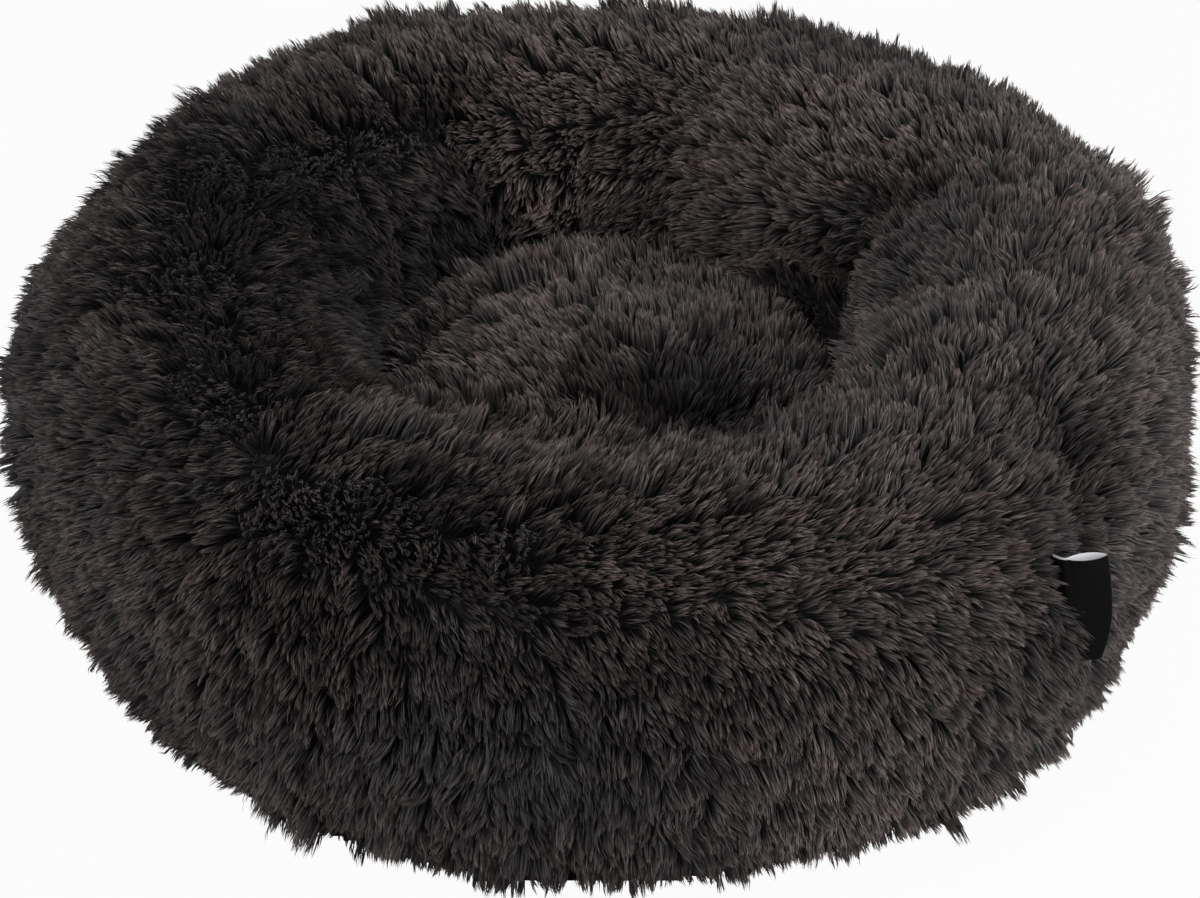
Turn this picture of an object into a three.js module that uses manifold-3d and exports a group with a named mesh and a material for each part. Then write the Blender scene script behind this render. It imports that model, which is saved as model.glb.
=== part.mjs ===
// Round donut pet bed: a filled ring and a filled centre cushion in long-pile plush, on a zipped base cloth.
// Millimetres, +Z up, front towards -Y. The origin is on the floor under the middle of the bed.
import * as THREE from "three";
import { mergeVertices } from "three/addons/utils/BufferGeometryUtils.js";
import Module from "manifold-3d";

const wasm = await Module();
wasm.setup();

const fullTurn = 2 * Math.PI;
const quarterTurn = 0.5 * Math.PI;
const degree = Math.PI / 180;

// Bed, measured over the tips of the pile
const bedRadius = 300;
const bedHeight = 204;

// Space between pieces that touch, are sewn together or are packed into one another
const seamGap = 0.3;
const packingGap = 0.6;
const cutOverrun = 5;
const mergeTolerance = 0.001;

// Ring section: outer foot, widest point, crest, nest wall and inner foot
const outerFootRadius = 268;
const widestHeight = 100;
const crestRadius = 212;
const nestRadius = 127;
const nestWallHeight = 106;
const innerFootRadius = 140;

// Ring form round the bed, in shares of the sizes above, every 30 degrees from +X towards the back
const swellShares = [0.995, 1.02, 0.985, 0.985, 1.025, 0.992, 1.017, 0.972, 0.99, 1.0, 1.01, 0.995];
const heightShares = [1.0, 1.0, 0.975, 0.965, 0.975, 0.985, 0.98, 0.95, 0.935, 0.92, 0.935, 0.965];
const nestShares = [1.0, 0.96, 0.97, 1.02, 1.0, 0.99, 0.96, 1.0, 1.02, 1.0, 1.0, 1.02];

// Folds that gather the ring, and below them its swells, whose depth is less than 0. Each has its angle, the
// lean it gains along the section, its half width in degrees and its depth, and the stretch of the section,
// from outer foot to inner foot, that it runs along
const folds = [
  { angle: 21, lean: 3, halfWidth: 6, depth: 13, fromShare: 0.5, toShare: 0.96 },
  { angle: 14, lean: 5, halfWidth: 6, depth: 6, fromShare: 0.34, toShare: 0.6 },
  { angle: 74, lean: -1, halfWidth: 6, depth: 12, fromShare: 0.54, toShare: 0.92 },
  { angle: 67, lean: 6, halfWidth: 5, depth: 6, fromShare: 0.42, toShare: 0.62 },
  { angle: 91, lean: 1, halfWidth: 5, depth: 5, fromShare: 0.54, toShare: 0.86 },
  { angle: 116, lean: -1, halfWidth: 6, depth: 10, fromShare: 0.54, toShare: 0.92 },
  { angle: 154, lean: -13, halfWidth: 7, depth: 10, fromShare: 0.62, toShare: 0.95 },
  { angle: 170, lean: -20, halfWidth: 7, depth: 5, fromShare: 0.52, toShare: 0.68 },
  { angle: 194, lean: 6, halfWidth: 6, depth: 5, fromShare: 0.42, toShare: 0.64 },
  { angle: 320, lean: 8, halfWidth: 5, depth: 7, fromShare: 0.26, toShare: 0.5 },
  { angle: 256, lean: 0, halfWidth: 4, depth: 5, fromShare: 0.12, toShare: 0.38 },
  { angle: 267, lean: 0, halfWidth: 4, depth: 6, fromShare: 0.06, toShare: 0.34 },
  { angle: 285, lean: 0, halfWidth: 4, depth: 4, fromShare: 0.1, toShare: 0.3 },
  { angle: 47, lean: -4, halfWidth: 15, depth: -9, fromShare: 0.48, toShare: 0.74 },
  { angle: 334, lean: 0, halfWidth: 10, depth: -6, fromShare: 0.46, toShare: 0.68 },
  { angle: 230, lean: 0, halfWidth: 10, depth: -6, fromShare: 0.46, toShare: 0.66 },
  { angle: 12, lean: 0, halfWidth: 8, depth: -11, fromShare: 0.12, toShare: 0.5 },
  { angle: 316, lean: 0, halfWidth: 14, depth: -9, fromShare: 0.01, toShare: 0.28 },
  { angle: 264, lean: 0, halfWidth: 20, depth: -5, fromShare: 0.01, toShare: 0.3 },
];
const foldEndFade = 0.7;
const deepFold = 5.5;

// Thicknesses: plush with its pile pressed to a solid, bag cloth and base cloth
const plushThickness = 18;
const bagThickness = 1;
const baseThickness = 1.2;
const baseEdgeMargin = 2;

// Centre cushion
const cushionEdgeHeight = 106;
const cushionCrownHeight = 130;
const cushionEdgeRound = 24;
const cushionDrawIn = 5;
const cushionRimShare = 0.5;
const tuftDepth = 10;
const tuftRadius = 42;
const tuftX = 26;
const tuftY = -52;

// Slits through which the bags are filled, sewn shut by hand
const slitLength = 120;
const slitWidth = 3;
const ringSlitAngle = 90 * degree;

// Zip across the base, along X
const zipLength = 400;
const tapeWidth = 16;
const tapeThickness = 0.6;
const rowGap = 1.6;
const toothLength = 1.2;
const toothPitch = 4;
const toothWidthShare = 0.4;
const coilWidth = 1.6;
const coilHeight = 2;
const stopLength = 4;
const slotHalfWidth = 7;
const hemWidth = 4;
const rampWidth = 13;
const channelMargin = 1;

// Slider and pull
const floorClearance = 0.5;
const plateThickness = 1;
const sliderLength = 12;
const sliderNoseLength = 3;
const noseWidthShare = 0.6;
const flangeThickness = 1;
const postLength = 1.6;
const postEdge = 0.6;
const lugThickness = 1;
const lugGap = 4.2;
const lugRadius = 1.4;
const pinRadius = 0.6;
const eyeBoreRadius = 0.9;
const eyeRadius = 1.5;
const pullLength = 26;
const pullHalfWidth = 3.4;
const pullThickness = 1.2;
const pullNeckLength = 4;
const gripHoleHalfLength = 3;
const gripHoleHalfWidth = 1.4;
const pinSides = 12;

// Woven label, folded in half and sewn into the ring's join seam
const labelAngle = 316.5 * degree;
const labelHeight = 58;
const labelMiddleZ = 111;
const labelReach = 13;
const labelRoot = 9;
const labelPly = 0.5;
const labelLoopGap = 2;
const labelBendRadius = 4;
const labelTurn = 48 * degree;
const labelSteps = 6;
const widestShare = 0.25;
const seatSearchSteps = 20;

// Steps of the soft solids
const ringStations = 48;
const ringOuterSteps = 16;
const ringInnerSteps = 6;
const cushionStations = 36;
const cushionCrownSteps = 5;
const cushionRimSteps = 3;
const discSides = 72;

// Colours
const pileColor = 0x3a3635;
const bagColor = 0xd8d6d2;
const fibreColor = 0xf2f1ee;
const baseColor = 0x1d1d1f;
const labelColor = 0x141414;
const metalColor = 0x8d8f92;

// Heights of the stack over the floor, from the pull up to the bags
const pinHeight = floorClearance + eyeRadius;
const facePlateBottom = pinHeight + eyeRadius + seamGap;
const facePlateTop = facePlateBottom + plateThickness;
const coilBottom = facePlateTop + seamGap;
const coilTop = coilBottom + coilHeight;
const tapeBottom = coilTop + seamGap;
const tapeTop = tapeBottom + tapeThickness;
const backPlateBottom = tapeTop + seamGap;
const backPlateTop = backPlateBottom + plateThickness;
const channelTop = backPlateTop + packingGap;
const footHeight = baseThickness + seamGap;

// A value between shares listed at equal steps round the bed
function aroundBed(shares, angle) {
  const count = shares.length;
  const place = ((angle / fullTurn) * count + count) % count;
  const index = Math.floor(place);
  const t = place - index;
  const [a, b, c, d] = [-1, 0, 1, 2].map((step) => shares[(index + step + count) % count]);
  return b + 0.5 * t * (c - a + t * (2 * a - 5 * b + 4 * c - d + t * (3 * (b - c) + d - a)));
}

// How deep the folds sink the ring's surface at an angle and a place along its section
function foldDepth(angle, along) {
  let depth = 0;
  for (const fold of folds) {
    const run = (along - fold.fromShare) / (fold.toShare - fold.fromShare);
    if (run > 0 && run < 1) {
      const middle = (fold.angle + fold.lean * run) * degree;
      const away = Math.atan2(Math.sin(angle - middle), Math.cos(angle - middle)) / (fold.halfWidth * degree);
      depth += fold.depth * Math.sin(Math.PI * run) ** foldEndFade * Math.exp(-away * away);
    }
  }
  return depth;
}

// A point of the ring's section, at a depth under the pile: [radius, height]
function ringPoint(angle, along, depth) {
  const widest = bedRadius * aroundBed(swellShares, angle);
  const top = bedHeight * aroundBed(heightShares, angle);
  const wall = nestRadius * aroundBed(nestShares, angle);
  const quarter = Math.min(Math.floor(along * 4), 3);
  const turn = (along * 4 - quarter) * quarterTurn;
  const s = Math.sin(turn);
  const c = Math.cos(turn);
  const [wide, tall] = [
    [widest - outerFootRadius, widestHeight - footHeight],
    [widest - crestRadius, top - widestHeight],
    [crestRadius - wall, top - nestWallHeight],
    [innerFootRadius - wall, nestWallHeight - footHeight],
  ][quarter];
  const point = [
    [outerFootRadius + wide * s, footHeight + tall * (1 - c)],
    [crestRadius + wide * c, widestHeight + tall * s],
    [crestRadius - wide * s, nestWallHeight + tall * c],
    [innerFootRadius - wide * c, nestWallHeight - tall * s],
  ][quarter];
  const normal = [
    [tall * s, -wide * c],
    [tall * c, wide * s],
    [-tall * s, wide * c],
    [-tall * c, -wide * s],
  ][quarter];
  const sink = (depth + foldDepth(angle, along)) / Math.hypot(normal[0], normal[1]);
  return [point[0] - normal[0] * sink, point[1] - normal[1] * sink];
}

// The ring's section at a depth, from outer foot over the crest to inner foot
function ringLine(angle, depth, steps) {
  const line = [];
  for (let step = 0; step <= steps; step++) {
    line.push(ringPoint(angle, step / steps, depth));
  }
  return line;
}

// Radius of the ring's nest wall at a height, straight up from the wall's narrowest place
function nestWallRadius(angle, height) {
  const wall = nestRadius * aroundBed(nestShares, angle);
  if (height >= nestWallHeight) {
    return wall;
  }
  const drop = (nestWallHeight - height) / (nestWallHeight - footHeight);
  return innerFootRadius - (innerFootRadius - wall) * Math.sqrt(1 - Math.min(drop, 1) ** 2);
}

// Sinking of the cushion's crown at its tuft
function tuftSink(x, y) {
  const away = Math.hypot(x - tuftX, y - tuftY) / tuftRadius;
  return tuftDepth * Math.exp(-away * away);
}

// The cushion's section at a depth under the pile, from the middle of the crown to the foot
function cushionLine(angle, depth, foot) {
  const line = [];
  const edge = nestWallRadius(angle, cushionEdgeHeight) - packingGap - depth;
  const round = cushionEdgeRound - cushionRimShare * depth;
  const rim = edge - round;
  const shoulder = cushionEdgeHeight - depth;
  const crown = cushionCrownHeight - depth;
  for (let step = 0; step < cushionCrownSteps; step++) {
    const radius = rim * (step / cushionCrownSteps);
    const rise = Math.cos((radius / edge) * quarterTurn);
    const height = shoulder + (crown - shoulder) * rise;
    line.push([radius, height - tuftSink(radius * Math.cos(angle), radius * Math.sin(angle))]);
  }
  const rimHeight = shoulder + (crown - shoulder) * Math.cos((rim / edge) * quarterTurn);
  for (let step = 0; step <= cushionRimSteps; step++) {
    const turn = (step / cushionRimSteps) * quarterTurn;
    const height = rimHeight - round * (1 - Math.cos(turn));
    const sink = tuftSink(rim * Math.cos(angle), rim * Math.sin(angle)) * Math.cos(turn);
    line.push([rim + round * Math.sin(turn), height - sink]);
  }
  const [, sideTop] = line[line.length - 1];
  line.push([edge - cushionDrawIn, (sideTop + foot) / 2]);
  line.push([edge, foot]);
  return line;
}

// Closed mesh over rows of points: each row is a closed loop, and the rows close on the first one.
// Each face is halved from its row's higher point, so that layers packed in one another have like creases
function skinRows(rows) {
  const positions = [];
  const count = rows[0].length;
  rows.forEach((row, index) => {
    const next = rows[(index + 1) % rows.length];
    for (let step = 0; step < count; step++) {
      const after = (step + 1) % count;
      const [a, b, c, d] = [row[step], next[step], next[after], row[after]];
      const faces = a[2] > d[2] ? [a, b, c, a, c, d] : [a, b, d, b, c, d];
      positions.push(...faces.flat());
    }
  });
  const geometry = new THREE.BufferGeometry();
  geometry.setAttribute("position", new THREE.Float32BufferAttribute(positions, 3));
  return geometry;
}

// Angles of the sections round the bed: equal steps, but each fold draws the nearest one to its own middle
function stationAngles(count) {
  const angles = Array.from({ length: count }, (_, station) => (station / count) * fullTurn);
  for (const fold of folds) {
    const middle = (fold.angle + fold.lean / 2) * degree;
    const nearest = Math.round((middle / fullTurn) * count) % count;
    if (fold.depth > deepFold) {
      angles[nearest] = middle;
    }
  }
  return angles;
}

// Solid turned round the Z axis from a closed section that may differ with the angle
function turnedSolid(sectionAt, stations) {
  const rows = [];
  for (const angle of stationAngles(stations)) {
    const [x, y] = [Math.cos(angle), Math.sin(angle)];
    rows.push(sectionAt(angle).map(([radius, height]) => [radius * x, radius * y, height]));
  }
  return toSolid(skinRows(rows));
}

// A closed mesh as a solid that can be cut and joined; faces that have no area are dropped
function toSolid(source) {
  const bare = new THREE.BufferGeometry();
  bare.setAttribute("position", source.getAttribute("position"));
  if (source.index) {
    bare.setIndex(source.index);
  }
  const merged = mergeVertices(bare, mergeTolerance);
  const index = Array.from(merged.index.array);
  const kept = [];
  for (let face = 0; face < index.length; face += 3) {
    const [a, b, c] = index.slice(face, face + 3);
    if (a !== b && b !== c && c !== a) {
      kept.push(a, b, c);
    }
  }
  const points = new Float32Array(merged.getAttribute("position").array);
  const mesh = new wasm.Mesh({ numProp: 3, vertProperties: points, triVerts: new Uint32Array(kept) });
  return new wasm.Manifold(mesh);
}

function toGeometry(solid) {
  const mesh = solid.getMesh();
  const geometry = new THREE.BufferGeometry();
  geometry.setAttribute("position", new THREE.BufferAttribute(new Float32Array(mesh.vertProperties), 3));
  geometry.setIndex(new THREE.BufferAttribute(new Uint32Array(mesh.triVerts), 1));
  geometry.computeVertexNormals();
  return geometry;
}

function box(lowX, highX, lowY, highY, lowZ, highZ) {
  const geometry = new THREE.BoxGeometry(highX - lowX, highY - lowY, highZ - lowZ);
  geometry.translate((lowX + highX) / 2, (lowY + highY) / 2, (lowZ + highZ) / 2);
  return toSolid(geometry);
}

// A cylinder that lies along Y
function crossPin(radius, halfLength, x, z) {
  const geometry = new THREE.CylinderGeometry(radius, radius, 2 * halfLength, pinSides);
  geometry.translate(x, 0, z);
  return toSolid(geometry);
}

// A flat outline, drawn in X and Y, as a plate between two heights
function plate(outline, low, high) {
  const shape = new THREE.Shape(outline.map(([x, y]) => new THREE.Vector2(x, y)));
  const geometry = new THREE.ExtrudeGeometry(shape, { depth: high - low, bevelEnabled: false });
  geometry.translate(0, 0, low);
  return toSolid(geometry);
}

function material(color, roughness, metalness) {
  return new THREE.MeshStandardMaterial({ color, roughness, metalness });
}

const plush = material(pileColor, 0.95, 0);
const bagCloth = material(bagColor, 0.9, 0);
const fibre = material(fibreColor, 0.95, 0);
const gripCloth = material(baseColor, 0.8, 0);
const labelCloth = material(labelColor, 0.6, 0);
const tapeCloth = material(baseColor, 0.85, 0);
const nylon = material(baseColor, 0.45, 0);
const metal = material(metalColor, 0.35, 1);

const bed = new THREE.Group();

function addPiece(name, solid, look, parent = bed) {
  const mesh = new THREE.Mesh(toGeometry(solid), look);
  mesh.name = name;
  parent.add(mesh);
}

// Free way over the zip, in which its tapes lie and its slider runs; grow widens it for each inner layer
const slotHalfLength = zipLength / 2 + stopLength;
const hemSpread = hemWidth + rampWidth;
const channelHalfLength = slotHalfLength + hemSpread + channelMargin;
const channelHalfWidth = slotHalfWidth + hemSpread + channelMargin;
function zipChannel(grow) {
  const halfLength = channelHalfLength + grow;
  const halfWidth = channelHalfWidth + grow;
  return box(-halfLength, halfLength, -halfWidth, halfWidth, -cutOverrun, channelTop + grow);
}

// Label: its folded strip in the plane of the surface's normal and its run round the bed
function labelFrame() {
  let along = widestShare;
  for (let step = 0; step < seatSearchSteps; step++) {
    along += (labelMiddleZ - ringPoint(labelAngle, along, 0)[1]) / (4 * bedHeight);
  }
  const [radius, height] = ringPoint(labelAngle, along, 0);
  const [deepRadius, deepHeight] = ringPoint(labelAngle, along, plushThickness);
  const outward = new THREE.Vector3(radius - deepRadius, 0, height - deepHeight).normalize();
  outward.applyAxisAngle(new THREE.Vector3(0, 0, 1), labelAngle);
  const sideways = new THREE.Vector3(-Math.sin(labelAngle), Math.cos(labelAngle), 0);
  const upward = new THREE.Vector3().crossVectors(outward, sideways);
  const origin = new THREE.Vector3(radius * Math.cos(labelAngle), radius * Math.sin(labelAngle), height);
  return new THREE.Matrix4().makeBasis(outward, sideways, upward).setPosition(origin);
}

// Middle line of the folded strip, from its root in the seam to its fold: [outward, sideways]
function labelPath() {
  const path = [[-labelRoot, 0]];
  for (let step = 0; step <= labelSteps; step++) {
    const turn = (step / labelSteps) * labelTurn;
    path.push([labelBendRadius * Math.sin(turn), labelBendRadius * (1 - Math.cos(turn))]);
  }
  const [bendOut, bendSide] = path[path.length - 1];
  path.push([bendOut + labelReach * Math.cos(labelTurn), bendSide + labelReach * Math.sin(labelTurn)]);
  return path;
}

// Outline of the strip at a distance from its middle line, closed round the root and the fold
function labelOutline(spread) {
  const path = labelPath();
  const outline = [[], []];
  path.forEach((point, index) => {
    const before = path[Math.max(index - 1, 0)];
    const after = path[Math.min(index + 1, path.length - 1)];
    const run = [after[0] - before[0], after[1] - before[1]];
    const length = Math.hypot(...run);
    const away = [-run[1] / length, run[0] / length];
    const ends = index === 0 ? -spread : 0;
    outline[0].push([point[0] + away[0] * spread + ends, point[1] + away[1] * spread]);
    outline[1].unshift([point[0] - away[0] * spread + ends, point[1] - away[1] * spread]);
  });
  const [tipOut, tipSide] = path[path.length - 1];
  const fold = [];
  for (let step = 1; step < labelSteps; step++) {
    const turn = labelTurn + (0.5 - step / labelSteps) * Math.PI;
    fold.push([tipOut + spread * Math.cos(turn), tipSide + spread * Math.sin(turn)]);
  }
  return [...outline[0], ...fold, ...outline[1]];
}

// The label follows the ring's swell from end to end
function placeLabel(solid) {
  return solid
    .warp((point) => {
      point[0] -= (point[2] * point[2]) / (2 * bedRadius);
    })
    .transform(labelFrame().elements.slice());
}

const labelSpread = labelPly + labelLoopGap / 2;
const labelSeat = placeLabel(
  plate(labelOutline(labelSpread + seamGap), -labelHeight / 2 - seamGap, labelHeight / 2 + seamGap)
);
const labelLoop = plate(labelOutline(labelLoopGap / 2), -labelHeight, labelHeight);
const labelFlat = plate(labelOutline(labelSpread), -labelHeight / 2, labelHeight / 2).subtract(labelLoop);

// Ring cover: a plush shell, open underneath, with its seat for the label in the join seam
const ringCover = turnedSolid((angle) => {
  const outside = ringLine(angle, 0, ringOuterSteps);
  return [...outside, ...ringLine(angle, plushThickness, ringInnerSteps).reverse()];
}, ringStations);
addPiece("bolster_cover", ringCover.subtract(labelSeat).subtract(zipChannel(0)), plush);
addPiece("woven_label", placeLabel(labelFlat), labelCloth);

// A layer inside the ring cover: its section with the bottom closed at a height over the base
function ringFilling(depth, inset, bottom) {
  return turnedSolid((angle) => {
    const line = ringLine(angle, depth, ringInnerSteps);
    const outerFoot = outerFootRadius - inset;
    const innerFoot = innerFootRadius + inset;
    const outside = [[outerFoot, bottom], [outerFoot, line[0][1]]];
    const inside = [[innerFoot, footHeight + plushThickness], [innerFoot, bottom]];
    return [...outside, ...line.slice(1, -1), ...inside];
  }, ringStations);
}

// Ring bag and the fibre in it
const bagDepth = plushThickness + packingGap;
const bagHollowDepth = bagDepth + bagThickness;
const fibreDepth = bagHollowDepth + packingGap;
const bagInset = 2 * packingGap;
const bagHollow = ringFilling(bagHollowDepth, bagInset + bagThickness, footHeight + bagThickness);
const slitTop = footHeight + bagThickness + cutOverrun;
const ringSlit = box(-slitLength / 2, slitLength / 2, -slitWidth / 2, slitWidth / 2, 0, slitTop)
  .translate([0, (outerFootRadius + innerFootRadius) / 2, 0])
  .rotate([0, 0, ringSlitAngle / degree - 90]);
const ringBag = ringFilling(bagDepth, bagInset, footHeight)
  .subtract(zipChannel(packingGap))
  .subtract(bagHollow.subtract(zipChannel(packingGap + bagThickness)))
  .subtract(ringSlit);
addPiece("bolster_bag", ringBag, bagCloth);
const fibreInset = bagInset + bagThickness + packingGap;
const ringFibre = ringFilling(fibreDepth, fibreInset, footHeight + bagThickness + packingGap);
addPiece("bolster_filling", ringFibre.subtract(zipChannel(2 * packingGap + bagThickness)), fibre);

// Cushion cover: a domed plush shell, open underneath
const cushionCover = turnedSolid((angle) => {
  const outside = cushionLine(angle, 0, footHeight).reverse();
  return [...outside, ...cushionLine(angle, plushThickness, footHeight)];
}, cushionStations);
addPiece("cushion_cover", cushionCover.subtract(zipChannel(0)), plush);

// A layer inside the cushion cover, closed flat at the bottom
function cushionLayer(depth, bottom) {
  const section = (angle) => [[0, bottom], ...cushionLine(angle, depth, bottom).reverse()];
  return turnedSolid(section, cushionStations);
}

// Cushion bag and the fibre in it
const cushionSlit = box(-slitLength / 2, slitLength / 2, -slitWidth / 2, slitWidth / 2, 0, slitTop);
const cushionHollow = cushionLayer(bagHollowDepth, footHeight + bagThickness);
const cushionBag = cushionLayer(bagDepth, footHeight)
  .subtract(zipChannel(packingGap))
  .subtract(cushionHollow.subtract(zipChannel(packingGap + bagThickness)))
  .subtract(cushionSlit.translate([0, (nestRadius - plushThickness) / 2, 0]));
addPiece("cushion_bag", cushionBag, bagCloth);
const cushionFibre = cushionLayer(fibreDepth, footHeight + bagThickness + packingGap);
addPiece("cushion_filling", cushionFibre.subtract(zipChannel(2 * packingGap + bagThickness)), fibre);

// Base cloth: a round bottom whose hem climbs to the zip on all sides of its slot
const hemTop = tapeBottom - seamGap;
const hemLevels = [
  { out: 0, top: hemTop },
  { out: hemWidth, top: hemTop },
  { out: hemWidth + rampWidth / 2, top: (hemTop + baseThickness) / 2 },
  { out: hemSpread, top: baseThickness },
];
const hemRows = [
  [-1, -1],
  [1, -1],
  [1, 1],
  [-1, 1],
].map(([signX, signY]) => {
  const place = (out, height) => [signX * (slotHalfLength + out), signY * (slotHalfWidth + out), height];
  const under = hemLevels.map(({ out, top }) => place(out, top - baseThickness));
  const over = hemLevels.map(({ out, top }) => place(out, top));
  return [...under, ...over.reverse()];
});
const baseDisc = new THREE.CylinderGeometry(
  outerFootRadius + baseEdgeMargin,
  outerFootRadius + baseEdgeMargin,
  baseThickness,
  discSides
);
baseDisc.rotateX(quarterTurn);
baseDisc.translate(0, 0, baseThickness / 2);
const hemOut = hemSpread - seamGap;
const slotCut = box(
  -slotHalfLength - hemOut,
  slotHalfLength + hemOut,
  -slotHalfWidth - hemOut,
  slotHalfWidth + hemOut,
  -cutOverrun,
  cutOverrun
);
const baseCloth = toSolid(baseDisc).subtract(slotCut).add(toSolid(skinRows(hemRows)));
addPiece("base_cloth", baseCloth, gripCloth);

// Zip rows: a coil with its teeth on each side, with a stop at the closed end, and the tape that carries it
const spineInner = rowGap / 2 + toothLength;
const spineOuter = spineInner + coilWidth;
const flangeInner = spineOuter + seamGap;
const sliderHalfWidth = flangeInner + flangeThickness;
const toothWidth = toothPitch * toothWidthShare;
const toothCount = Math.floor((zipLength - 2 * stopLength) / toothPitch);
const rowHalfLength = (toothCount * toothPitch) / 2;
function coilOutline(side) {
  const tip = rowGap / 2;
  const first = -rowHalfLength + (side > 0 ? toothPitch / 4 : (toothPitch * 3) / 4);
  const outline = [[-rowHalfLength, spineInner]];
  for (let tooth = 0; tooth < toothCount; tooth++) {
    const middle = first + tooth * toothPitch;
    const [low, high] = [middle - toothWidth / 2, middle + toothWidth / 2];
    outline.push([low, spineInner], [low, tip], [high, tip], [high, spineInner]);
  }
  const stopEnd = rowHalfLength + stopLength;
  outline.push([rowHalfLength, spineInner], [rowHalfLength, tip], [stopEnd, tip], [stopEnd, sliderHalfWidth]);
  outline.push([rowHalfLength, sliderHalfWidth], [rowHalfLength, spineOuter], [-rowHalfLength, spineOuter]);
  return outline.map(([x, y]) => [x, side * y]);
}

for (const [side, place] of [[-1, "front"], [1, "back"]]) {
  const [near, far] = [side * (rowGap / 2), side * (rowGap / 2 + tapeWidth)].sort((a, b) => a - b);
  const tape = box(-slotHalfLength, slotHalfLength, near, far, tapeBottom, tapeTop);
  addPiece(`zip_tape_${place}`, tape, tapeCloth);
  addPiece(`zip_teeth_${place}`, plate(coilOutline(side), coilBottom, coilTop), nylon);
}
const endStopEnd = -rowHalfLength - stopLength;
const endStopStart = -rowHalfLength - seamGap;
const endStop = box(endStopEnd, endStopStart, -sliderHalfWidth, sliderHalfWidth, coilBottom, coilTop);
addPiece("zip_end_stop", endStop, metal);

// Slider at the closed end: two plates on a post that stands past the last teeth, flanges beside the coils,
// and two lugs under the face plate that hold the pull's pin
const sliderFront = rowHalfLength - seamGap;
const sliderBack = sliderFront - sliderLength;
const sliderNose = sliderFront + sliderNoseLength;
const pinX = sliderFront - sliderLength / 2;
const noseHalfWidth = sliderHalfWidth * noseWidthShare;
const sliderOutline = [
  [sliderBack, -noseHalfWidth],
  [sliderBack + sliderNoseLength / 2, -sliderHalfWidth],
  [sliderFront, -sliderHalfWidth],
  [sliderNose, -noseHalfWidth],
  [sliderNose, noseHalfWidth],
  [sliderFront, sliderHalfWidth],
  [sliderBack + sliderNoseLength / 2, sliderHalfWidth],
  [sliderBack, noseHalfWidth],
];
const facePlate = plate(sliderOutline, facePlateBottom, facePlateTop);
const backPlate = plate(sliderOutline, backPlateBottom, backPlateTop);
const postHalfWidth = rowGap / 2 - seamGap;
const plateMiddle = facePlateBottom + plateThickness / 2;
const backMiddle = backPlateBottom + plateThickness / 2;
const postBack = sliderNose - postEdge - postLength;
const post = box(postBack, postBack + postLength, -postHalfWidth, postHalfWidth, plateMiddle, backMiddle);
const flangeBack = sliderBack + sliderNoseLength / 2;
const flanges = [-1, 1].map((side) => {
  const [low, high] = [side * flangeInner, side * sliderHalfWidth].sort((a, b) => a - b);
  return box(flangeBack, sliderFront, low, high, plateMiddle, coilTop);
});
const lugOuter = lugGap / 2 + lugThickness;
const lugBlock = box(pinX - lugRadius, pinX + lugRadius, -lugOuter, lugOuter, pinHeight, plateMiddle);
const lugSpace = box(pinX - cutOverrun, pinX + cutOverrun, -lugGap / 2, lugGap / 2, 0, facePlateBottom);
const lugs = crossPin(lugRadius, lugOuter, pinX, pinHeight).add(lugBlock).subtract(lugSpace);
const slider = facePlate
  .add(backPlate)
  .add(post)
  .add(flanges[0])
  .add(flanges[1])
  .add(lugs)
  .add(crossPin(pinRadius, lugOuter, pinX, pinHeight));
addPiece("zip_slider", slider, metal);

// Pull: an eye round the pin and a flat tongue, drawn back along the zip, with a hole near its end
const eyeHalfWidth = lugGap / 2 - seamGap;
const tongueStart = pinX - (eyeBoreRadius + eyeRadius) / 2;
const tongueEnd = pinX - pullLength;
const neckEnd = pinX - pullNeckLength;
const tongueCorner = pullHalfWidth / 2;
const tongueOutline = [
  [tongueStart, -eyeHalfWidth],
  [neckEnd, -eyeHalfWidth],
  [neckEnd - tongueCorner, -pullHalfWidth],
  [tongueEnd + tongueCorner, -pullHalfWidth],
  [tongueEnd, -pullHalfWidth + tongueCorner],
  [tongueEnd, pullHalfWidth - tongueCorner],
  [tongueEnd + tongueCorner, pullHalfWidth],
  [neckEnd - tongueCorner, pullHalfWidth],
  [neckEnd, eyeHalfWidth],
  [tongueStart, eyeHalfWidth],
];
const gripX = tongueEnd + pullHalfWidth + gripHoleHalfLength;
const gripHole = [
  [gripX - gripHoleHalfLength, -gripHoleHalfWidth],
  [gripX + gripHoleHalfLength, -gripHoleHalfWidth],
  [gripX + gripHoleHalfLength, gripHoleHalfWidth],
  [gripX - gripHoleHalfLength, gripHoleHalfWidth],
];
const tongue = plate(tongueOutline, pinHeight - pullThickness / 2, pinHeight + pullThickness / 2);
const pull = crossPin(eyeRadius, eyeHalfWidth, pinX, pinHeight)
  .add(tongue)
  .subtract(plate(gripHole, 0, pinHeight + cutOverrun))
  .subtract(crossPin(eyeBoreRadius, lugGap, pinX, pinHeight));
addPiece("zip_pull", pull, metal);

// The origin is under the middle of the whole bed's box
const reach = new THREE.Box3().setFromObject(bed);
const middle = reach.getCenter(new THREE.Vector3());
bed.position.set(-middle.x, -middle.y, 0);

export default bed;
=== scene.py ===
import math

import bmesh
import bpy
import numpy as np
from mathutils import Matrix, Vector
from mathutils.bvhtree import BVHTree
from mathutils.kdtree import KDTree


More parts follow.
